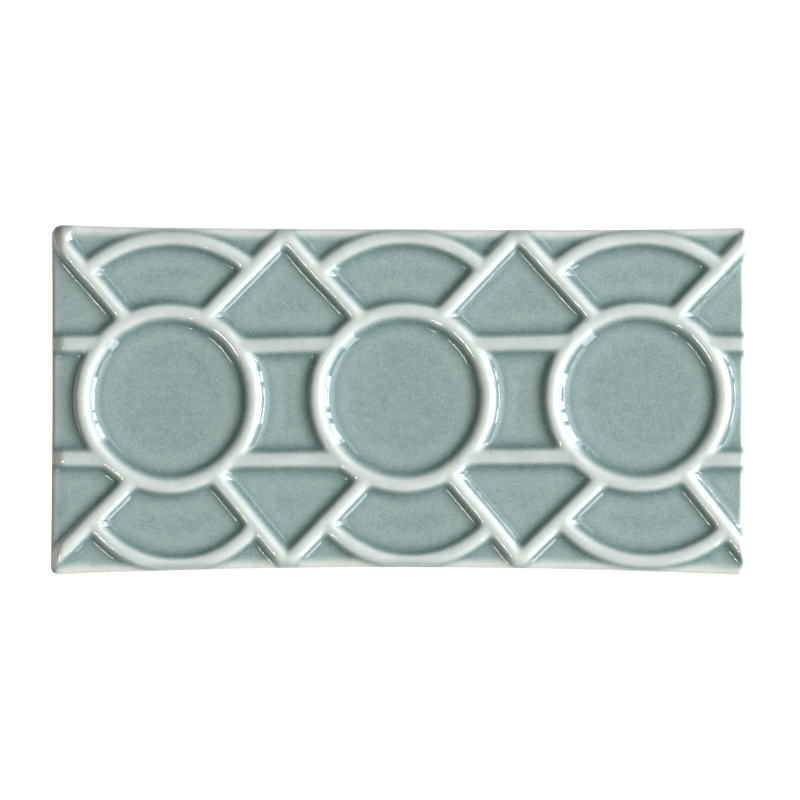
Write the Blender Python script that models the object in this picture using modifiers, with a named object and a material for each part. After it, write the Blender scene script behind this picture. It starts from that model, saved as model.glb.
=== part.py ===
# Decor tile: one pressed and fired slab, 152 x 77 mm, with a fret of rings, arcs, bars and diagonals raised
# on its face.
# Metres, +Z out of the glazed face, +X along the length, origin at the centre of the flat back.
import math

import bmesh
import bpy
from mathutils import Vector

NAME = "decor_tile"

# Slab. Corners before they are rounded, anticlockwise from the lower right, then the sides: right, top,
# left and bottom
CORNERS = ((0.07580, -0.03854), (0.07625, 0.03785), (-0.07600, 0.03854), (-0.07625, -0.03846))
CORNER_RADII = (0.0014, 0.0010, 0.0024, 0.0018)
SIDE_BOWS = (0.0, 0.0007, 0.0002, 0.0017)
BOW_POWERS = (2, 4, 2, 2)
PANEL_HEIGHT = 0.0075
ARRIS_RADIUS = 0.0009
BACK_BEVEL = 0.0004
RIM_RADIUS = 0.0011
FRET_HEADROOM = 0.0001
FRET_INSET = 0.0003

# Fret, as it was pressed into this tile. Bars give their height at both ends, from left to right
RING_CENTRES = ((-0.0501, 0.00030), (0.0012, 0.00054), (0.0528, 0.00057))
RING_RADIUS = 0.0190
TOP_BARS = ((0.01238, 0.01228), (0.01173, 0.01218), (0.01218, 0.01268), (0.01228, 0.01228))
BOTTOM_BARS = ((-0.01272, -0.01292), (-0.01312, -0.01312), (-0.01237, -0.01247), (-0.01312, -0.01312))
TOP_APEXES = ((-0.0748, 0.0356), (-0.0248, 0.0361), (0.0265, 0.0364), (0.0770, 0.0356))
BOTTOM_APEXES = ((-0.0757, -0.0354), (-0.0243, -0.0356), (0.0269, -0.0349), (0.0777, -0.0354))
# Where a diagonal meets its ring, in degrees from the length, by side and row
MEET_ANGLES = {(-1, 1): 62.3, (1, 1): 66.7, (-1, -1): 66.7, (1, -1): 59.3}
# Each arc's place along the length, radius and crown
TOP_ARCS = ((-0.0497, 0.0270, 0.03548), (0.0013, 0.0257, 0.03573), (0.0529, 0.0274, 0.03563))
BOTTOM_ARCS = ((-0.0487, 0.0220, -0.03627), (0.0027, 0.0239, -0.03542), (0.0548, 0.0248, -0.03537))

# Rib section: one side, from below the panel through the foot's fillet to the crest, as shares of the
# half width and of the rise
RIB_HALF_WIDTH = 0.0031
RIB_ROOT = 0.0012
RING_RISE = 0.0020
DIAGONAL_RISE = 0.00195
ARC_RISE = 0.00185
BAR_RISE = 0.0018
RIB_SIDE = ((1.15, -0.05), (0.84, 0.20), (0.69, 0.42), (0.57, 0.66), (0.42, 0.85), (0.24, 0.96))
APEX_SHARE = 0.94

# Fineness of the curved shapes
RING_POINTS = 54
ARC_STEP = 0.0030
SIDE_POINTS = 12
CORNER_POINTS = 4
ROUND_SEGMENTS = 3
APEX_SIDES = 20
WELD_DISTANCE = 1e-6
TURN_WELD = 1e-5
RIM_TURN = 0.5
SHARP_ANGLE = math.radians(40)

OVERRUN = 0.004
GLAZE_COLOUR = (0.25, 0.352, 0.328, 1.0)
GLAZE_ROUGHNESS = 0.08


def clear_scene():
    for obj in list(bpy.data.objects):
        bpy.data.objects.remove(obj, do_unlink=True)


def new_collection(name):
    collection = bpy.data.collections.new(name)
    bpy.context.scene.collection.children.link(collection)
    return collection


def glaze_material():
    material = bpy.data.materials.new("celadon_glaze")
    material.use_nodes = True
    shader = material.node_tree.nodes["Principled BSDF"]
    shader.inputs["Base Color"].default_value = GLAZE_COLOUR
    shader.inputs["Roughness"].default_value = GLAZE_ROUGHNESS
    shader.inputs["Metallic"].default_value = 0.0
    return material


def direction(angle):
    return Vector((math.cos(angle), math.sin(angle)))


def outline_points(inset):
    """The plan outline, anticlockwise: four sides that bow in between four rounded corners."""
    points = []
    for side, (bow, power) in enumerate(zip(SIDE_BOWS, BOW_POWERS)):
        facing = side * math.pi / 2
        out = direction(facing)
        along = direction(facing + math.pi / 2)
        after = (side + 1) % len(CORNERS)
        radius = CORNER_RADII[after]
        start = Vector(CORNERS[side]) + along * CORNER_RADII[side]
        end = Vector(CORNERS[after]) - along * radius
        for step in range(SIDE_POINTS + 1):
            share = step / SIDE_POINTS
            drawn_in = bow * (1 - abs(2 * share - 1) ** power)
            points.append(start.lerp(end, share) - out * (inset + drawn_in))
        for step in range(1, CORNER_POINTS):
            angle = facing + math.pi / 2 * step / CORNER_POINTS
            points.append(end - out * radius + direction(angle) * (radius - inset))
    return points


def poly_curve(name, points, cyclic):
    curve = bpy.data.curves.new(name, "CURVE")
    curve.dimensions = "2D"
    spline = curve.splines.new("POLY")
    spline.points.add(len(points) - 1)
    for point, place in zip(spline.points, points):
        point.co = (place[0], place[1], 0.0, 1.0)
    spline.use_cyclic_u = cyclic
    return curve


def mesh_from_curve(name, curve, collection, location=(0.0, 0.0, 0.0)):
    """A mesh object of the curve's solid, its caps welded to its sides."""
    drawn = bpy.data.objects.new(name + "_curve", curve)
    drawn.location = location
    collection.objects.link(drawn)
    bpy.context.view_layer.update()
    graph = bpy.context.evaluated_depsgraph_get()
    mesh = bpy.data.meshes.new_from_object(drawn.evaluated_get(graph))
    bm = bmesh.new()
    bm.from_mesh(mesh)
    bmesh.ops.remove_doubles(bm, verts=bm.verts, dist=WELD_DISTANCE)
    bmesh.ops.recalc_face_normals(bm, faces=bm.faces)
    bm.to_mesh(mesh)
    bm.free()
    obj = bpy.data.objects.new(name, mesh)
    obj.matrix_world = drawn.matrix_world
    collection.objects.link(obj)
    bpy.data.objects.remove(drawn)
    return obj


def slab_block(name, bottom, top, collection, inset=0.0):
    """The outline, drawn in by the inset, extruded from bottom to top."""
    curve = poly_curve(name, outline_points(inset), True)
    curve.fill_mode = "BOTH"
    curve.extrude = (top - bottom) / 2
    return mesh_from_curve(name, curve, collection, (0.0, 0.0, (top + bottom) / 2))


def weigh_rim(obj, level, weight):
    """Marks the rim edges at this local height for the bevel, with their share of its width."""
    bm = bmesh.new()
    bm.from_mesh(obj.data)
    layer = bm.edges.layers.float.get("bevel_weight_edge") or bm.edges.layers.float.new("bevel_weight_edge")
    for edge in bm.edges:
        on_level = all(abs(vert.co.z - level) < WELD_DISTANCE for vert in edge.verts)
        if on_level and abs(edge.link_faces[0].normal.z - edge.link_faces[1].normal.z) > RIM_TURN:
            edge[layer] = weight
    bm.to_mesh(obj.data)
    bm.free()


def add_bevel(obj, width):
    bevel = obj.modifiers.new("rounded_rim", "BEVEL")
    bevel.limit_method = "WEIGHT"
    bevel.width = width
    bevel.segments = ROUND_SEGMENTS


def add_boolean(obj, name, operation, target=None, collection=None):
    boolean = obj.modifiers.new(name, "BOOLEAN")
    boolean.operation = operation
    if collection:
        boolean.operand_type = "COLLECTION"
        boolean.collection = collection
    else:
        boolean.object = target
        boolean.solver = "MANIFOLD"


def rib_profile(rise):
    """A rib's closed section, sunk by its root into the slab."""
    right = [(RIB_HALF_WIDTH, -RIB_ROOT)]
    right += [(RIB_HALF_WIDTH * across, rise * up) for across, up in RIB_SIDE]
    left = [(-across, up) for across, up in reversed(right)]
    return right + [(0.0, rise)] + left


def add_rib(name, points, rise, collection, cyclic=False):
    """A rib swept along the points, standing on the panels."""
    section = bpy.data.objects.new("rib_section", poly_curve("rib_section", rib_profile(rise), True))
    collection.objects.link(section)
    path = poly_curve(name, points, cyclic)
    path.bevel_mode = "OBJECT"
    path.bevel_object = section
    path.fill_mode = "NONE"
    path.use_fill_caps = not cyclic
    rib = mesh_from_curve(name, path, collection, (0.0, 0.0, PANEL_HEIGHT))
    bpy.data.objects.remove(section)
    return rib


def circle_points(centre, radius, start, end, count):
    steps = [start + (end - start) * i / count for i in range(count + 1)]
    return [centre + radius * direction(angle) for angle in steps]


def ring_point(index, side, row):
    """Where the ring's diagonal on this side, in the top (1) or bottom (-1) row, starts."""
    angle = math.radians(MEET_ANGLES[side, row])
    reach = RING_RADIUS * Vector((side * math.cos(angle), row * math.sin(angle)))
    return Vector(RING_CENTRES[index]) + reach


def apex_point(index, row):
    return Vector((TOP_APEXES if row > 0 else BOTTOM_APEXES)[index])


def crossing_angle(centre, radius, start, end):
    """The direction, from the circle's centre, in which the line from start to end leaves the circle."""
    along = (end - start).normalized()
    to_start = start - centre
    middle = -to_start.dot(along)
    half_chord = math.sqrt(radius**2 - to_start.length_squared + middle**2)
    place = to_start + along * (middle + half_chord)
    return math.atan2(place.y, place.x)


def add_rings(collection):
    for index, centre in enumerate(RING_CENTRES):
        points = circle_points(Vector(centre), RING_RADIUS, 0.0, 2 * math.pi, RING_POINTS)
        add_rib(f"ring_{index}", points[:-1], RING_RISE, collection, cyclic=True)


def add_bars(collection):
    """Between the rings, and from the outer rings over the tile's ends."""
    outer = CORNERS[1][0] + OVERRUN
    for row, bars in enumerate((TOP_BARS, BOTTOM_BARS)):
        stops = [-outer]
        for (x, y), (_, before), (after, _) in zip(RING_CENTRES, bars, bars[1:]):
            stops.append(x - math.sqrt(RING_RADIUS**2 - (before - y) ** 2))
            stops.append(x + math.sqrt(RING_RADIUS**2 - (after - y) ** 2))
        stops.append(outer)
        for index, (left, right) in enumerate(bars):
            ends = [(stops[2 * index], left), (stops[2 * index + 1], right)]
            add_rib(f"bar_{row}_{index}", ends, BAR_RISE, collection)


def add_diagonals(collection):
    """From each ring out to the apexes on both sides. Those at the tile's corners run on over its edge."""
    for row in (1, -1):
        for index in range(len(RING_CENTRES)):
            for side in (-1, 1):
                apex_index = index + (side + 1) // 2
                start = ring_point(index, side, row)
                apex = apex_point(apex_index, row)
                if apex_index in (0, len(RING_CENTRES)):
                    apex = apex + (apex - start).normalized() * OVERRUN
                add_rib(f"diagonal_{row}_{index}_{side}", [start, apex], DIAGONAL_RISE, collection)


def add_arcs(collection):
    """Between the two diagonals of each ring, crowned close to the tile's edge."""
    for row, arcs in ((1, TOP_ARCS), (-1, BOTTOM_ARCS)):
        for index, (x, radius, crown) in enumerate(arcs):
            centre = Vector((x, crown - row * radius))
            ends = []
            for side in (1, -1):
                apex = apex_point(index + (side + 1) // 2, row)
                ends.append(crossing_angle(centre, radius, ring_point(index, side, row), apex))
            sweep = (ends[1] - ends[0]) * row % (2 * math.pi) * row
            count = round(abs(sweep) * radius / ARC_STEP)
            points = circle_points(centre, radius, ends[0], ends[0] + sweep, count)
            add_rib(f"arc_{row}_{index}", points, ARC_RISE, collection)


def add_knuckle(name, place, collection):
    """A turned knuckle, a little inside the rib's own section, that rounds off where two diagonals meet."""
    rise = DIAGONAL_RISE * APEX_SHARE
    reach = RIB_HALF_WIDTH * APEX_SHARE
    side = [(reach * across, rise * up) for across, up in RIB_SIDE]
    profile = [(0.0, rise), *reversed(side), (reach, -RIB_ROOT), (0.0, -RIB_ROOT)]
    bm = bmesh.new()
    verts = [bm.verts.new((across, 0.0, up)) for across, up in profile]
    for first, second in zip(verts, verts[1:]):
        bm.edges.new((first, second))
    mesh = bpy.data.meshes.new(name)
    bm.to_mesh(mesh)
    bm.free()
    obj = bpy.data.objects.new(name, mesh)
    obj.location = (place.x, place.y, PANEL_HEIGHT)
    collection.objects.link(obj)
    screw = obj.modifiers.new("turned", "SCREW")
    screw.steps = APEX_SIDES
    screw.render_steps = APEX_SIDES
    screw.use_merge_vertices = True
    screw.merge_threshold = TURN_WELD
    return obj


def build_tile():
    ribs = new_collection("fret_ribs")
    helpers = new_collection("fret_and_trim")

    add_rings(ribs)
    add_bars(ribs)
    add_diagonals(ribs)
    add_arcs(ribs)
    add_knuckle("knuckle_top", apex_point(2, 1), ribs)
    add_knuckle("knuckle_bottom_left", apex_point(1, -1), ribs)
    add_knuckle("knuckle_bottom_right", apex_point(2, -1), ribs)

    crest = PANEL_HEIGHT + RING_RISE
    envelope = slab_block("fret_envelope", 0.0, crest + FRET_HEADROOM, helpers, FRET_INSET)
    weigh_rim(envelope, max(vert.co.z for vert in envelope.data.vertices), 1.0)
    add_bevel(envelope, RIM_RADIUS)
    fret = add_knuckle("fret", apex_point(1, 1), helpers)
    add_boolean(fret, "all_ribs", "UNION", collection=ribs)
    add_boolean(fret, "within_the_edges", "INTERSECT", target=envelope)

    tile = slab_block(NAME, 0.0, PANEL_HEIGHT, new_collection(NAME))
    weigh_rim(tile, PANEL_HEIGHT / 2, 1.0)
    weigh_rim(tile, -PANEL_HEIGHT / 2, BACK_BEVEL / ARRIS_RADIUS)
    add_bevel(tile, ARRIS_RADIUS)
    add_boolean(tile, "raised_fret", "UNION", target=fret)

    for helper in [*ribs.objects, *helpers.objects]:
        helper.hide_render = True
        helper.display_type = "WIRE"
    tile.data.materials.append(glaze_material())
    tile.data.shade_smooth()
    tile.data.set_sharp_from_angle(angle=SHARP_ANGLE)


clear_scene()
build_tile()
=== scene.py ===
import math

import bmesh
import bpy
import numpy as np
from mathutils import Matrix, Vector, noise


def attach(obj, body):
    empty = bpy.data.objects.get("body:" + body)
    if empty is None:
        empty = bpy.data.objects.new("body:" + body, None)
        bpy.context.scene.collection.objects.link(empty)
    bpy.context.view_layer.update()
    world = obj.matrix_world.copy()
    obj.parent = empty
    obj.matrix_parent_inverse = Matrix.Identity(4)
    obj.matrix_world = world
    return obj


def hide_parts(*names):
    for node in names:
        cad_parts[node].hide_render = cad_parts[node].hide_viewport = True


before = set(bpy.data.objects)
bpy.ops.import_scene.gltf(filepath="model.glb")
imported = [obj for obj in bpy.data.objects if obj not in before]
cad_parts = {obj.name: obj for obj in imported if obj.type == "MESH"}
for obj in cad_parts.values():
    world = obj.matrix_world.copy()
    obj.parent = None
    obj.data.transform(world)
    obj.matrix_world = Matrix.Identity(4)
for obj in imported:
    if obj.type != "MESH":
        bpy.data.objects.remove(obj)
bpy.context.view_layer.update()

mm = 0.001
glazeSlot, claySlot = 0, 1  # the tile's two materials
scene = bpy.context.scene

# the tile as it was pressed: outline, panels and fret, in millimetres
tile = {
    # corners before they are rounded: lower left, lower right, upper right, upper left
    "corners": ((-76.25, -38.46), (75.80, -38.54), (76.25, 37.85), (-76.00, 38.54)),
    "crestHeight": 9.5,
    "headroom": 0.01,  # the crests stay this much below that height
    "panelHeight": 7.5,
    "dish": 0.35,  # the panels rise this much on their way to a rib
    "dishWidth": 6.0,
    # how far each side draws in at its middle, and the power of that curve
    "bows": {"left": (0.2, 2), "right": (0.0, 2), "top": (0.7, 4), "bottom": (1.7, 2)},
    # by side and row: -1 is left or lower, 1 is right or upper
    "cornerRadius": {(-1, 1): 2.4, (1, 1): 1.0, (-1, -1): 1.8, (1, -1): 1.4},
    "arrisRadius": 0.9,
    "leftArris": 2.4,  # the left side rolls over more widely
    "ribsFade": (-0.6, 3.0),  # distances from the sides over which the ribs sink to the rolled edge
    "draft": 0.05,  # the face is this much smaller all round than the foot of the sides
    "ringX": (-50.12, 1.22, 52.80),
    "ringY": (0.30, 0.54, 0.57),
    "ringRadius": 19.0,
    "ringSquash": 0.16,  # the rings are this much narrower and taller than round
    "innerFoot": 0.35,  # a ring's foot spreads this much further on the inside
    "innerFootGrows": (1.0, 2.6),  # distances from the ring's centreline over which it does
    # heights of the bars' two ends, from left to right along the tile
    "topBars": ((12.38, 12.28), (11.73, 12.18), (12.18, 12.68), (12.28, 12.28)),
    "bottomBars": ((-12.70, -12.90), (-13.12, -13.12), (-12.37, -12.47), (-13.07, -13.12)),
    "barReach": 100.0,  # the outer bars run to here, past the tile's ends
    # the points on the long sides where the diagonals end or meet
    "topApexes": ((-74.8, 35.6), (-24.8, 36.1), (26.5, 36.4), (77.0, 35.6)),
    "bottomApexes": ((-75.7, -35.4), (-24.3, -35.6), (26.9, -34.9), (77.7, -35.4)),
    "pastCorner": 6.0,  # the outer diagonals run on this far over the tile's corners
    "leftTopEnd": ((-73.3, 34.5), (-73.0, 40.1)),  # that corner's rib turns up to the edge
    # where a diagonal meets its ring, in degrees from the length, by side and row
    "meetAngle": {(-1, 1): 62.3, (1, 1): 66.7, (-1, -1): 66.7, (1, -1): 59.3},
    "arcTopX": (-49.7, 1.3, 52.9),
    "arcTopRadius": (27.0, 25.7, 27.4),
    "arcBottomX": (-48.7, 2.7, 54.8),
    "arcBottomRadius": (22.0, 23.9, 24.8),
    "crownTopY": (35.48, 35.73, 35.63),
    "crownBottomY": (-36.27, -35.42, -35.37),
    "rise": {"ring": 1.62, "diagonal": 1.58, "arc": 1.48, "bar": 1.43, "turn": 1.3},
    "girth": {"ring": 1.0, "diagonal": 0.97, "arc": 0.97, "bar": 1.05, "turn": 0.72},
    # a rib's cross-section: distance from its centreline and slope there in degrees
    "ribSlopes": ((0, 0), (0.5, 15), (0.9, 26), (1.4, 37), (1.7, 47), (1.95, 55), (2.15, 51), (2.35, 34),
                  (2.52, 22.3), (2.95, 18.8), (3.25, 8), (3.7, 0)),
    "sectionSteps": 240,
    "crestLean": 0.38,  # the crests lie this far to the left of the ribs' middle
    "shortEnd": 1.0,  # a rib that runs into another stops this far from its centreline
    "cornerFill": 2.0,  # lower values fill the inner corners more
    # hand-finished unevenness: how much, over what length, and which layer of the noise
    "slabWaves": (0.05, 22, 5),
    "ribWaves": (0.03, 7, 6),
    "fineWaves": (0.012, 2.2, 7),
    "ribsWander": ((0.16, 14, 1, 3), (0.05, 4, 2, 4)),  # sideways, one layer for each direction
    "cells": (400, 202),  # of the face's mesh, along and across
    "edgeRows": 5,  # rows of cells in the rolled arris
}

# how the glaze lies on the clay: depth 0 is bare, 1 is a deep pool, and distances are in millimetres
glaze = {
    "crestDepth": {"ring": 0.085, "diagonal": 0.085, "arc": 0.10, "bar": 0.17, "turn": 0.12},
    "crestWaves": (0.5, 6, 10),  # that depth's unevenness: share, length and noise layer
    "overEdgeShade": 0.45,  # painted shade: more glaze, so a darker colour, where a rib runs down over a long side and its slope turns away
    "overEdgeShadeEnds": (-0.4, 2.2),  # distances from that side over which it ends
    "thickens": (0.88, 2.15),  # distances from a rib's centreline
    "panelDepth": 0.45,
    "poolDepth": 0.47,  # what a pool beside a rib adds
    "poolStart": 2.4,  # distance from a rib at which it starts to thin out
    "poolReach": 1.45,
    "middleDepth": 0.16,
    "middle": (4.2, 8.5),  # distances from a rib between which the panels deepen
    # share of the depth that is left at each side, and the distances over which the glaze thins to it
    "edgeDepth": {"left": 0.2, "right": 0.25, "bottom": 0.04, "top": 0.04},
    "edgeThin": {"left": (0.2, 2.4), "right": (0.2, 1.4), "bottom": (0.6, 3.1), "top": (0.6, 3.1)},
    "edgeWaves": (0.4, 5, 8),  # how far those distances wander, over what length, and the noise layer
    # clay that shows at the rim, with painted shade: most on the left, which turns from the light, and none
    # on the lit right; how much at each side, and the distances over which it ends
    "clayAndShadeBySide": {"left": 1.0, "right": 0.0, "bottom": 0.25, "top": 0.3},
    "rimEnds": (0.2, 1.2),
    "rimWaves": (0.25, 5, 8),  # the same for the rim's clay
    "shadeLineEnds": (0.0, 0.3),  # the painted shade line on the very edge, where the arris turns from the light
    "rimStop": 0.5,  # the rim's place between the body, at 0, and the painted shade line, at 1
    "cornerShade": 0.65,  # painted shade in the rim's clay colour at the upper left corner, which turns from the light
    "cornerShadeEnds": (7.0, 1.5),  # distances from that corner
}


def uneven(x, y, amount, wavelength, layer):
    # smooth noise of about -amount to amount, another pattern for each layer
    turns = 1 / wavelength
    layerGap = 7.3  # far enough apart for unrelated patterns
    places = zip(x * turns, y * turns)
    return amount * np.array([noise.noise((px, py, layerGap * layer)) for px, py in places])


def smoothStep(start, end, value):
    t = np.clip((value - start) / (end - start), 0, 1)
    return t * t * (3 - 2 * t)


def ringPoint(index, side, row):
    # where a diagonal meets its ring
    angle = math.radians(tile["meetAngle"][side, row])
    return np.array((
        tile["ringX"][index] + side * tile["ringRadius"] * math.cos(angle),
        tile["ringY"][index] + row * tile["ringRadius"] * math.sin(angle),
    ))


def apexPoint(index, row):
    return np.array((tile["topApexes"] if row > 0 else tile["bottomApexes"])[index])


def whereLineLeaves(centre, radius, start, end):
    # the angle at which the line from start to end leaves the circle
    along = (end - start) / np.linalg.norm(end - start)
    toStart = start - centre
    middle = -toStart @ along
    halfChord = math.sqrt(radius**2 - toStart @ toStart + middle**2)
    place = toStart + along * (middle + halfChord)
    return math.atan2(place[1], place[0])


def barRibs():
    ribs = []
    outer = tile["ringRadius"] + tile["shortEnd"]
    centres = list(zip(tile["ringX"], tile["ringY"]))
    for heights in (tile["topBars"], tile["bottomBars"]):
        ends = [-tile["barReach"]]
        for (x, y), (before, _), (after, _) in zip(centres, heights, heights[1:]):
            reach = math.sqrt(outer**2 - ((before + after) / 2 - y) ** 2)
            ends += [x - reach, x + reach]
        ends.append(tile["barReach"])
        for index, (left, right) in enumerate(heights):
            ribs.append(("bar", "line", ((ends[2 * index], left), (ends[2 * index + 1], right))))
    return ribs


def diagonalsAndArcs():
    ribs = []
    rows = (
        (1, tile["arcTopX"], tile["arcTopRadius"], tile["crownTopY"]),
        (-1, tile["arcBottomX"], tile["arcBottomRadius"], tile["crownBottomY"]),
    )
    for row, arcX, arcRadius, crowns in rows:
        for index, radius in enumerate(arcRadius):
            centre = np.array((arcX[index], crowns[index] - row * radius))
            ends = []
            for side in (1, -1):
                start = ringPoint(index, side, row)
                apexIndex = index + (side + 1) // 2
                apex = apexPoint(apexIndex, row)
                along = (apex - start) / np.linalg.norm(apex - start)
                leaves = whereLineLeaves(centre, radius, start, apex)
                ends.append(leaves + side * row * tile["shortEnd"] / radius)
                if apexIndex in (0, len(tile["ringX"])):
                    apex = apex + along * tile["pastCorner"]
                ribs.append(("diagonal", "line", (start + along * tile["shortEnd"], apex)))
            sweep = (ends[1] - ends[0]) * row % (2 * math.pi)
            middle = ends[0] + row * sweep / 2
            ribs.append(("arc", "arc", (*centre, radius, middle, sweep / 2)))
    return ribs


def fretRibs():
    # every rib's centreline: its kind, its shape and the shape's numbers
    rings = [("ring", "circle", (x, y, tile["ringRadius"])) for x, y in zip(tile["ringX"], tile["ringY"])]
    return rings + barRibs() + diagonalsAndArcs() + [("turn", "line", tile["leftTopEnd"])]


def distanceTo(shape, numbers, x, y):
    if shape == "circle":
        centreX, centreY, radius = numbers
        dx, dy = x - centreX, y - centreY
        reach = np.hypot(dx, dy)
        squash = tile["ringSquash"] * (dx * dx - dy * dy) / np.maximum(reach, 1) ** 2
        outside = reach - radius + squash
        foot = tile["innerFoot"] * smoothStep(*tile["innerFootGrows"], -outside)
        return np.abs(outside) - foot
    if shape == "line":
        (ax, ay), (bx, by) = numbers
        dx, dy = bx - ax, by - ay
        along = np.clip(((x - ax) * dx + (y - ay) * dy) / (dx * dx + dy * dy), 0, 1)
        return np.hypot(x - ax - along * dx, y - ay - along * dy)
    centreX, centreY, radius, middle, halfSweep = numbers
    angle = np.arctan2(y - centreY, x - centreX) - middle
    angle = (angle + math.pi) % (2 * math.pi) - math.pi
    nearest = middle + np.clip(angle, -halfSweep, halfSweep)
    return np.hypot(x - centreX - radius * np.cos(nearest), y - centreY - radius * np.sin(nearest))


def fretFields(x, y):
    # distance to the nearest rib, rounded in the corners, with the rise and crest glaze of the ribs near by
    warpX, warpY = x, y
    for amount, wavelength, layerX, layerY in tile["ribsWander"]:
        warpX = warpX + uneven(x, y, amount, wavelength, layerX)
        warpY = warpY + uneven(x, y, amount, wavelength, layerY)
    farthest = 30  # further ribs count as if they were here, so the sum of weights is never zero
    weightSum = np.zeros_like(x)
    riseSum = np.zeros_like(x)
    crestSum = np.zeros_like(x)
    for kind, shape, numbers in fretRibs():
        distance = distanceTo(shape, numbers, warpX, warpY) / tile["girth"][kind]
        weight = np.exp(-tile["cornerFill"] * np.minimum(distance, farthest))
        weightSum += weight
        riseSum += weight * tile["rise"][kind]
        crestSum += weight * glaze["crestDepth"][kind]
    distance = np.maximum(-np.log(weightSum) / tile["cornerFill"], 0)
    return distance, riseSum / weightSum, crestSum / weightSum


def ribSection():
    # share of a rib's rise that is left at each distance from its centreline
    places, slopes = zip(*tile["ribSlopes"])
    distance = np.linspace(0, places[-1], tile["sectionSteps"])
    steepness = np.tan(np.radians(np.interp(distance, places, slopes)))
    drop = np.cumsum(steepness) - steepness / 2
    return distance, 1 - drop / drop[-1]


def rolledDown(sides):
    # how far the face has rolled over towards each side
    radius = tile["arrisRadius"]
    left = sides["left"] * radius / tile["leftArris"]
    rolled = np.minimum.reduce([left, sides["right"], sides["bottom"], sides["top"]])
    inward = np.clip(radius - rolled, 0, radius)
    return radius - np.sqrt(radius**2 - inward**2)


def edgeGlaze(x, y, sides, rib):
    # share of the glaze that is kept near the sides, and how much clay and painted shade the rim shows
    kept = np.ones_like(x)
    rim = np.zeros_like(x)
    edgeWander = uneven(x, y, *glaze["edgeWaves"])
    rimWander = uneven(x, y, *glaze["rimWaves"])
    rimStop = glaze["rimStop"]
    for side, away in sides.items():
        least = glaze["edgeDepth"][side]
        thinned = least + (1 - least) * smoothStep(*glaze["edgeThin"][side], away + edgeWander)
        kept = np.minimum(kept, thinned + (1 - thinned) * rib)
        # clay colour at the rim and a painted shade line on the very edge, strongest on the unlit left side
        clayAndShade = rimStop * (1 - smoothStep(*glaze["rimEnds"], away + rimWander))
        clayAndShade += (1 - rimStop) * (1 - smoothStep(*glaze["shadeLineEnds"], away))
        rim = np.maximum(rim, clayAndShade * glaze["clayAndShadeBySide"][side])
    # painted shade at the upper left corner, which turns from the light
    corner = smoothStep(*glaze["cornerShadeEnds"], np.hypot(sides["left"], sides["top"]))
    return kept, np.maximum(rim, glaze["cornerShade"] * corner)


def faceShape(x, y, sides):
    # height of the glazed face, the depth of glaze on it, and how much clay and painted shade the rim shows
    section = ribSection()
    distance, _, crest = fretFields(x, y)
    upright = np.interp(distance, *section)
    leaning, rise, _ = fretFields(x + tile["crestLean"] * upright, y)
    rib = np.interp(leaning, *section)
    dish = tile["dish"] * np.exp(-((distance / tile["dishWidth"]) ** 2))
    edge = np.minimum.reduce([sides["left"], sides["bottom"], sides["top"]])
    height = tile["panelHeight"] + dish + rise * rib * smoothStep(*tile["ribsFade"], edge)
    height += uneven(x, y, *tile["slabWaves"]) + uneven(x, y, *tile["ribWaves"]) * rib
    height += uneven(x, y, *tile["fineWaves"])
    height = np.minimum(height, tile["crestHeight"] - tile["headroom"])
    height -= rolledDown(sides)

    crest = crest * (1 + uneven(x, y, *glaze["crestWaves"]))
    flank = smoothStep(*glaze["thickens"], np.minimum(distance, (distance + leaning) / 2))
    pool = glaze["poolDepth"] * np.exp(-np.maximum(distance - glaze["poolStart"], 0) / glaze["poolReach"])
    middle = glaze["middleDepth"] * smoothStep(*glaze["middle"], distance)
    depth = crest + flank * (glaze["panelDepth"] + pool + middle - crest)
    longSides = np.minimum(sides["bottom"], sides["top"])
    # painted shade: deeper, darker glaze on the rib ends that drop over the long sides
    depth += glaze["overEdgeShade"] * rib * (1 - smoothStep(*glaze["overEdgeShadeEnds"], longSides))
    kept, rim = edgeGlaze(x, y, sides, rib)
    return height, depth * kept, rim


def gridLines(count, half):
    # lines from -half to half that crowd together where the arris rolls over
    rows = tile["edgeRows"]
    radius = tile["arrisRadius"]
    rolled = np.array([radius * (1 - math.cos(math.pi / 2 * row / rows)) for row in range(rows)])
    flat = np.linspace(-half + radius, half - radius, count - 2 * rows + 1)
    return np.concatenate([rolled - half, flat, (half - rolled)[::-1]])


def cornerRadii(x, y):
    radii = np.zeros_like(x)
    for (side, row), radius in tile["cornerRadius"].items():
        radii[(x * side >= 0) & (y * row >= 0)] = radius
    return radii


def outlined(x, y, halfX, halfY):
    # moves the points of the full rectangle on to the tile's bowed and round-cornered outline
    radius = cornerRadii(x, y)
    insideX = np.maximum(np.abs(x) - (halfX - radius), 0)
    insideY = np.maximum(np.abs(y) - (halfY - radius), 0)
    length = np.hypot(insideX, insideY)
    tiny = 1e-9  # keeps the division below from a zero
    share = np.where(length > 0, np.maximum(insideX, insideY) / np.maximum(length, tiny), 1)
    across = np.sign(x) * (np.minimum(np.abs(x), halfX - radius) + insideX * share) / halfX
    up = np.sign(y) * (np.minimum(np.abs(y), halfY - radius) + insideY * share) / halfY
    lowerLeft, lowerRight, upperRight, upperLeft = (np.array(corner) for corner in tile["corners"])
    right = (1 + across)[:, None] / 2
    top = (1 + up)[:, None] / 2
    place = (lowerLeft * (1 - right) + lowerRight * right) * (1 - top)
    place += (upperLeft * (1 - right) + upperRight * right) * top
    for side, way, along, axis in (("left", -across, up, 0), ("right", across, up, 0),
                                   ("bottom", -up, across, 1), ("top", up, across, 1)):
        bow, power = tile["bows"][side]
        inward = bow * (1 - np.abs(along) ** power) * np.maximum(way, 0)
        place[:, axis] += inward if side in ("left", "bottom") else -inward
    return place[:, 0], place[:, 1]


def sideDistances(x, y, halfX, halfY):
    # how far a point of the full rectangle lies inside each side
    return {"left": x + halfX, "right": halfX - x, "bottom": y + halfY, "top": halfY - y}


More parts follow.
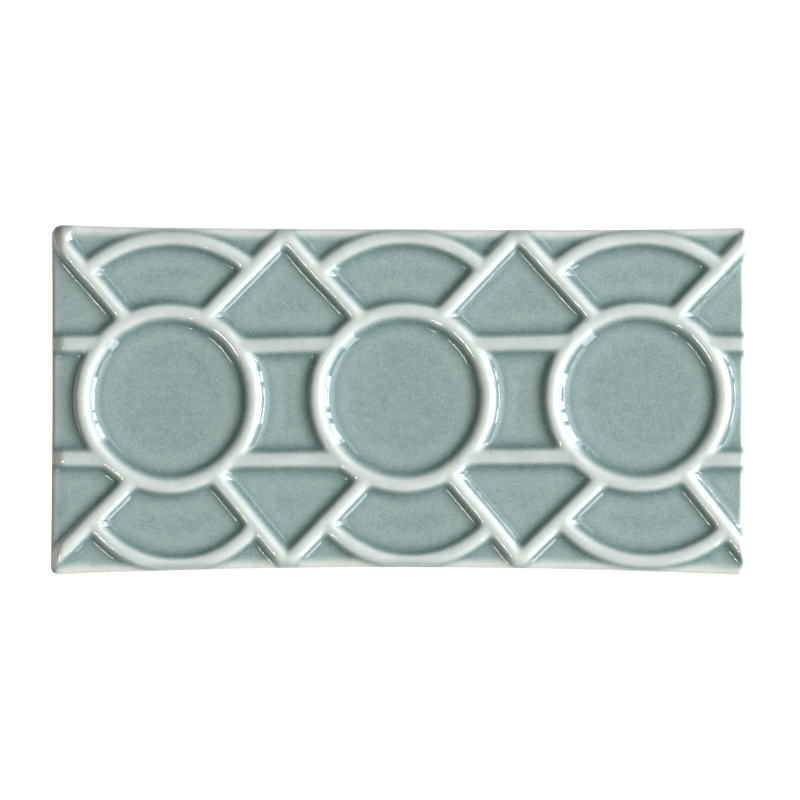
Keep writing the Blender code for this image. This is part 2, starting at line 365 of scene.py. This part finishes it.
# the sides under the face, in millimetres
sideWalls = {
    # from the face down: height, how far out, material, and how much the height wanders
    "rows": (
        (5.2, -0.03, glazeSlot, 0.0),
        (3.7, -0.04, glazeSlot, 0.2),
        (2.75, 0.0, glazeSlot, 0.5),
        (2.35, 0.03, glazeSlot, 0.5),
        (2.05, -0.10, claySlot, 0.5),
        (1.2, -0.09, claySlot, 0.2),
        (0.4, -0.06, claySlot, 0.0),
        (0.0, -0.40, claySlot, 0.0),
        (0.0, -4.0, claySlot, 0.0),
    ),
    "beadLength": 9,  # length of the waves in the glaze's lower edge
    "beadLayer": 4.0,  # their place in the noise
    "fineBead": 0.4,  # share of the finer waves, a third as long
    "depth": 0.5,  # of the glaze
    "rim": 0.6,  # how much clay shows through it
}


def beadWave(place):
    length = sideWalls["beadLength"]
    spot = Vector((place.x / length, place.y / length, sideWalls["beadLayer"]))
    return noise.noise(spot) + sideWalls["fineBead"] * noise.noise(spot * 3)


def addSides(bm, depthLayer, rimLayer, halfX, halfY):
    # the glaze runs part way down and ends in an uneven bead, with bare clay under it
    border = [edge for edge in bm.edges if edge.is_boundary]
    out = 0.0
    for level, outward, slot, wander in sideWalls["rows"]:
        made = bmesh.ops.extrude_edge_only(bm, edges=border)["geom"]
        border = [item for item in made if isinstance(item, bmesh.types.BMEdge) and item.is_boundary]
        verts = list({vert for edge in border for vert in edge.verts})
        grow = outward - out
        bmesh.ops.scale(bm, vec=(1 + grow / halfX, 1 + grow / halfY, 1), verts=verts)
        for vert in verts:
            vert.co.z = level + wander * beadWave(vert.co)
            vert[depthLayer] = sideWalls["depth"]
            vert[rimLayer] = sideWalls["rim"]
        for face in {face for edge in border for face in edge.link_faces}:
            face.material_index = slot
        out = outward
    return border


def sortFaces(bm):
    # extruding leaves the sides' faces in another order each run, so their corners decide it
    bm.verts.index_update()
    count = len(bm.verts)

    def place(face):
        corners = [vert.index for vert in face.verts]
        return min(corners) * count + max(corners)

    bm.faces.sort(key=place)


def glazedTile():
    bm = bmesh.new()
    cellsX, cellsY = tile["cells"]
    bmesh.ops.create_grid(bm, x_segments=cellsX, y_segments=cellsY, size=1)
    depthLayer = bm.verts.layers.float.new("glazeDepth")
    # clay at the rim, with painted shade on the unlit sides and edge
    rimLayer = bm.verts.layers.float.new("rimClayAndShade")
    halfX, halfY = np.abs(tile["corners"]).mean(axis=0)
    unit = np.array([vert.co[:2] for vert in bm.verts])
    fullX = gridLines(cellsX, halfX)[np.rint((unit[:, 0] + 1) / 2 * cellsX).astype(int)]
    fullY = gridLines(cellsY, halfY)[np.rint((unit[:, 1] + 1) / 2 * cellsY).astype(int)]
    x, y = outlined(fullX, fullY, halfX, halfY)
    x, y = x * (1 - tile["draft"] / halfX), y * (1 - tile["draft"] / halfY)
    height, depth, rim = faceShape(x, y, sideDistances(fullX, fullY, halfX, halfY))
    for vert, vx, vy, vz, vertDepth, vertRim in zip(bm.verts, x, y, height, depth, rim):
        vert.co = (vx, vy, vz)
        vert[depthLayer] = vertDepth
        vert[rimLayer] = vertRim

    border = addSides(bm, depthLayer, rimLayer, halfX, halfY)
    back = bmesh.ops.contextual_create(bm, geom=border)["faces"]
    bmesh.ops.recalc_face_normals(bm, faces=bm.faces)
    for face in bm.faces:
        face.smooth = face not in back
    back[0].material_index = claySlot
    bmesh.ops.scale(bm, vec=(mm, mm, mm), verts=bm.verts)
    sortFaces(bm)
    mesh = bpy.data.meshes.new("glazed_tile")
    bm.to_mesh(mesh)
    bm.free()
    piece = bpy.data.objects.new("glazed_tile", mesh)
    scene.collection.objects.link(piece)
    return piece


def newMaterial(name):
    material = bpy.data.materials.new(name)
    material.use_nodes = True
    tree = material.node_tree
    return material, tree, tree.nodes["Principled BSDF"]


def addNode(tree, kind, settings=None, **inputs):
    # at0, at6 and the like give a socket's place where its name won't do
    node = tree.nodes.new("ShaderNode" + kind)
    for name, value in (settings or {}).items():
        setattr(node, name, value)
    for name, value in inputs.items():
        socket = node.inputs[int(name[2:]) if name.startswith("at") else name]
        if isinstance(value, bpy.types.NodeSocket):
            tree.links.new(value, socket)
        else:
            socket.default_value = value
    return node


def addMath(tree, operation, first, second):
    return addNode(tree, "Math", {"operation": operation}, at0=first, at1=second).outputs[0]


def addNoise(tree, where, scale, detail=2.0):
    return addNode(tree, "TexNoise", Vector=where, Scale=scale, Detail=detail).outputs["Fac"]


def addRange(tree, value, low, high):
    node = addNode(tree, "MapRange", Value=value)
    node.inputs["To Min"].default_value = low
    node.inputs["To Max"].default_value = high
    return node


def addMix(tree, amount, first, second, blend="MIX"):
    settings = {"data_type": "RGBA", "blend_type": blend}
    return addNode(tree, "Mix", settings, at0=amount, at6=first, at7=second).outputs[2]


def addBump(tree, shader, height, distance, strength):
    bump = addNode(tree, "Bump", Height=height, Distance=distance, Strength=strength)
    tree.links.new(bump.outputs["Normal"], shader.inputs["Normal"])


def speckGroup():
    # scattered round specks: 1 in a speck, 0 between them
    group = bpy.data.node_groups.new("firingSpecks", "ShaderNodeTree")
    group.interface.new_socket("Vector", in_out="INPUT", socket_type="NodeSocketVector")
    for name in ("Spacing", "Radius", "Share"):
        group.interface.new_socket(name, in_out="INPUT", socket_type="NodeSocketFloat")
    group.interface.new_socket("Specks", in_out="OUTPUT", socket_type="NodeSocketFloat")
    inlet = group.nodes.new("NodeGroupInput").outputs
    outlet = group.nodes.new("NodeGroupOutput")
    scale = addMath(group, "DIVIDE", 1.0, inlet["Spacing"])
    cells = addNode(group, "TexVoronoi", Vector=inlet["Vector"], Scale=scale)
    away = addMath(group, "MULTIPLY", cells.outputs["Distance"], inlet["Spacing"])
    disc = addRange(group, addMath(group, "DIVIDE", away, inlet["Radius"]), 1.0, 0.0)
    disc.inputs["From Min"].default_value = 0.6  # a speck fades from here to its radius
    chance = addNode(group, "SeparateColor", Color=cells.outputs["Color"]).outputs["Red"]
    chosen = addMath(group, "LESS_THAN", chance, inlet["Share"])
    group.links.new(addMath(group, "MULTIPLY", disc.outputs["Result"], chosen), outlet.inputs["Specks"])
    return group


specks = speckGroup()


def addSpecks(tree, where, spacing, radius, share, strength):
    inputs = {"Vector": where, "Spacing": spacing, "Radius": radius, "Share": share}
    node = addNode(tree, "Group", {"node_tree": specks}, **inputs)
    return addMath(tree, "MULTIPLY", node.outputs["Specks"], strength)


# the look of the glaze: noise scales are per metre, lengths in metres
celadon = {
    "body": (0.735, 0.742, 0.685, 1.0),
    "rim": (0.555, 0.525, 0.465, 1.0),
    # dark colour of the painted shade line on the very edge
    "shadeLine": (0.27, 0.25, 0.21, 1.0),
    "tint": (0.198, 0.301, 0.31),  # share of red, green and blue that a depth of 1 lets through
    # unevenness of the depth: scale and detail of the noise, and the share by which it rises and falls
    "cloud": (110, 2.0, 0.10),
    "mottle": (520, 2.0, 0.09),
    "grain": (2700, 3.0, 0.40),
    "freckle": 0.09,  # the last two also shift the depth by this much at most
    "pinholes": {"spacing": 0.0065, "radius": 0.00022, "share": 0.16, "strength": 0.65},
    "pinholeColour": (0.09, 0.10, 0.085, 1.0),
    "ior": 1.58,
    "roughness": (0.036, 0.09),
    # relief of the skin: scale of the noise and share of the height
    "ripple": (420, 0.75),
    "peel": (1400, 0.05),
    "skin": {"distance": 0.00005, "strength": 0.6},
}


def celadonGlaze():
    material, tree, shader = newMaterial("celadonGlaze")
    shader.inputs["IOR"].default_value = celadon["ior"]
    where = addNode(tree, "TexCoord").outputs["Object"]

    # depth of glaze, a little cloudy and grainy, turned into colour as light fades in tinted glass
    depth = addNode(tree, "Attribute", {"attribute_name": "glazeDepth"}).outputs["Fac"]
    patterns = {}
    for name in ("cloud", "mottle", "grain"):
        scale, detail, spread = celadon[name]
        patterns[name] = addNoise(tree, where, scale, detail)
        change = addRange(tree, patterns[name], 1 - spread, 1 + spread)
        depth = addMath(tree, "MULTIPLY", depth, change.outputs["Result"])
    freckle = addMath(tree, "ADD", patterns["mottle"], patterns["grain"])
    freckle = addMath(tree, "MULTIPLY", freckle, celadon["freckle"])
    depth = addMath(tree, "ADD", depth, addMath(tree, "SUBTRACT", freckle, celadon["freckle"]))
    channels = addNode(tree, "CombineColor")
    for channel, tint in zip(("Red", "Green", "Blue"), celadon["tint"]):
        tree.links.new(addMath(tree, "POWER", tint, depth), channels.inputs[channel])

    # the body under the glaze, darker where the rim shows clay and painted shade, and a few pinholes
    rim = addNode(tree, "Attribute", {"attribute_name": "rimClayAndShade"}).outputs["Fac"]
    body = addNode(tree, "ValToRGB", Fac=rim)
    ramp = body.color_ramp
    ramp.elements[0].color = celadon["body"]
    # the dark end of this ramp paints the shade line on the very edge
    ramp.elements[1].color = celadon["shadeLine"]
    ramp.elements.new(glaze["rimStop"]).color = celadon["rim"]
    colour = addMix(tree, 1.0, body.outputs["Color"], channels.outputs[0], "MULTIPLY")
    pinholes = addSpecks(tree, where, **celadon["pinholes"])
    colour = addMix(tree, pinholes, colour, celadon["pinholeColour"])
    tree.links.new(colour, shader.inputs["Base Color"])

    # gloss: glassy, with a slight ripple and orange peel
    rough = addRange(tree, patterns["cloud"], *celadon["roughness"])
    tree.links.new(rough.outputs["Result"], shader.inputs["Roughness"])
    layers = []
    for name in ("ripple", "peel"):
        scale, share = celadon[name]
        layers.append(addMath(tree, "MULTIPLY", addNoise(tree, where, scale), share))
    addBump(tree, shader, addMath(tree, "ADD", *layers), **celadon["skin"])
    return material


# the look of the clay, in the same measures
clayBody = {
    "dark": (0.52, 0.47, 0.39, 1.0),
    "light": (0.70, 0.66, 0.58, 1.0),
    "mottle": (160, 4.0),  # scale and detail of the noise
    "grog": {"spacing": 0.0022, "radius": 0.00018, "share": 0.35, "strength": 0.5},
    "grogColour": (0.30, 0.24, 0.18, 1.0),
    "roughness": 0.88,
    "tooth": (1500, 4.0),
    "skin": {"distance": 0.00012, "strength": 0.7},
}


def bareClay():
    material, tree, shader = newMaterial("bareClay")
    where = addNode(tree, "TexCoord").outputs["Object"]
    mottle = addNoise(tree, where, *clayBody["mottle"])
    colour = addMix(tree, mottle, clayBody["dark"], clayBody["light"])
    grog = addSpecks(tree, where, **clayBody["grog"])
    colour = addMix(tree, grog, colour, clayBody["grogColour"])
    tree.links.new(colour, shader.inputs["Base Color"])
    shader.inputs["Roughness"].default_value = clayBody["roughness"]
    addBump(tree, shader, addNoise(tree, where, *clayBody["tooth"]), **clayBody["skin"])
    return material


white = (1, 1, 1, 1)
daylight = (0.95, 1.0, 1.07)
lampLight = (1.0, 0.97, 0.88)

# floor, world, windows and camera: lengths are in metres, those of the windows before windowScale
studio = {
    "floorColour": (0.20, 0.20, 0.20, 1),
    "floorGlow": 0.97,
    "floorRoughness": 0.9,
    "floorHalf": 6,
    "backdrop": white,  # what is seen past the floor
    "ambient": 0.07,
    "ambientColour": (1.08, 1.0, 0.76, 1),
    "windowScale": 1.5,
    # upright windows and lamps: azimuth in degrees from the tile's length, then distance, width,
    # bottom, top, radiance and colour
    "windows": {
        "paneOne": (-11, 1.6, 0.25, 0.42, 0.92, 13.5, daylight),
        "paneTwo": (-2, 1.6, 0.24, 0.62, 0.92, 13.5, daylight),
        "paneThree": (5, 1.6, 0.15, 0.50, 0.92, 13.5, daylight),
        "paneFour": (13.5, 1.6, 0.18, 0.43, 0.92, 13.5, daylight),
        "paneFive": (26, 1.6, 0.34, 0.40, 0.92, 13.5, daylight),
        "nearPane": (32, 0.333, 0.047, 0.08, 0.30, 5.0, daylight),
        "midWindow": (-1, 1.6, 2.35, 0.92, 2.30, 4.1, daylight),
        "highWindow": (6, 1.6, 3.20, 2.30, 4.60, 2.1, daylight),
        "sideWindow": (-45, 1.6, 0.36, 0.42, 1.60, 7.0, daylight),
        "lampOne": (211, 1.6, 0.15, 1.62, 1.75, 58.0, lampLight),
        "lampTwo": (217, 1.6, 0.15, 1.62, 1.75, 58.0, lampLight),
        "lampThree": (223, 1.6, 0.15, 1.62, 1.75, 58.0, lampLight),
        "lampFour": (229, 1.6, 0.15, 1.62, 1.75, 58.0, lampLight),
        "lampFive": (246, 1.6, 0.08, 1.62, 1.75, 58.0, lampLight),
        "warmWall": (195, 1.8, 2.6, 0.7, 3.0, 0.10, (1.0, 0.88, 0.58)),
    },
    "cameraHeight": 0.95,
    "sensorWidth": 36,
    "photoWidth": 800,  # pixels, and the same in height
    "photoLength": 695.3,  # pixels of the tile's length in the photograph
    "photoCentre": (398.0, 399.86),
}


def addWindow(name, azimuth, distance, width, bottom, top, radiance, colour):
    # an upright rectangle of light that faces the tile
    light = bpy.data.lights.new(name, "AREA")
    light.shape = "RECTANGLE"
    scale = studio["windowScale"]
    light.size = width * scale
    light.size_y = (top - bottom) * scale
    light.energy = radiance * math.pi * light.size * light.size_y
    light.color = colour
    lamp = bpy.data.objects.new(name, light)
    scene.collection.objects.link(lamp)
    turn = math.radians(azimuth)
    outward = Vector((math.cos(turn), math.sin(turn), 0))
    lamp.location = outward * distance * scale
    lamp.location.z = (bottom + top) / 2 * scale
    lamp.rotation_euler = (-outward).to_track_quat("-Z", "Y").to_euler()
    lamp.visible_camera = False


def buildStudio():
    bm = bmesh.new()
    bmesh.ops.create_grid(bm, x_segments=1, y_segments=1, size=studio["floorHalf"])
    mesh = bpy.data.meshes.new("floor")
    bm.to_mesh(mesh)
    bm.free()
    floor = bpy.data.objects.new("floor", mesh)
    scene.collection.objects.link(floor)
    material, _, shader = newMaterial("paleFloor")
    shader.inputs["Base Color"].default_value = studio["floorColour"]
    shader.inputs["Roughness"].default_value = studio["floorRoughness"]
    shader.inputs["Emission Color"].default_value = white
    shader.inputs["Emission Strength"].default_value = studio["floorGlow"]
    mesh.materials.append(material)

    # the dim ambient light lights the tile, and the camera sees the backdrop in its place
    world = bpy.data.worlds.new("studioWorld")
    world.use_nodes = True
    tree = world.node_tree
    ambient = tree.nodes["Background"]
    ambient.inputs["Color"].default_value = studio["ambientColour"]
    ambient.inputs["Strength"].default_value = studio["ambient"]
    backdrop = addNode(tree, "Background", Color=studio["backdrop"])
    seen = addNode(tree, "LightPath").outputs["Is Camera Ray"]
    sky = addNode(tree, "MixShader", at0=seen, at1=ambient.outputs[0], at2=backdrop.outputs[0])
    tree.links.new(sky.outputs[0], tree.nodes["World Output"].inputs["Surface"])
    scene.world = world
    for name, window in studio["windows"].items():
        addWindow(name, *window)


def addCamera():
    # straight above the tile, framed as in the photograph
    camera = bpy.data.cameras.new("photoCamera")
    cameraObject = bpy.data.objects.new("photoCamera", camera)
    scene.collection.objects.link(cameraObject)
    scene.camera = cameraObject
    perPixel = np.ptp([x for x, _ in tile["corners"]]) * mm / studio["photoLength"]
    toFace = studio["cameraHeight"] - tile["panelHeight"] * mm
    camera.sensor_width = studio["sensorWidth"]
    camera.lens = studio["sensorWidth"] * toFace / (studio["photoWidth"] * perPixel)
    middle = studio["photoWidth"] / 2
    centreX, centreY = studio["photoCentre"]
    cameraObject.location = (
        (middle - centreX) * perPixel,
        (centreY - middle) * perPixel,
        studio["cameraHeight"],
    )


piece = glazedTile()
piece.data.materials.append(celadonGlaze())
piece.data.materials.append(bareClay())
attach(piece, "root")
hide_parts("decor_tile")
print("tile built:", len(piece.data.polygons), "faces")

buildStudio()
addCamera()
scene.view_settings.view_transform = "Standard"
print("studio ready")
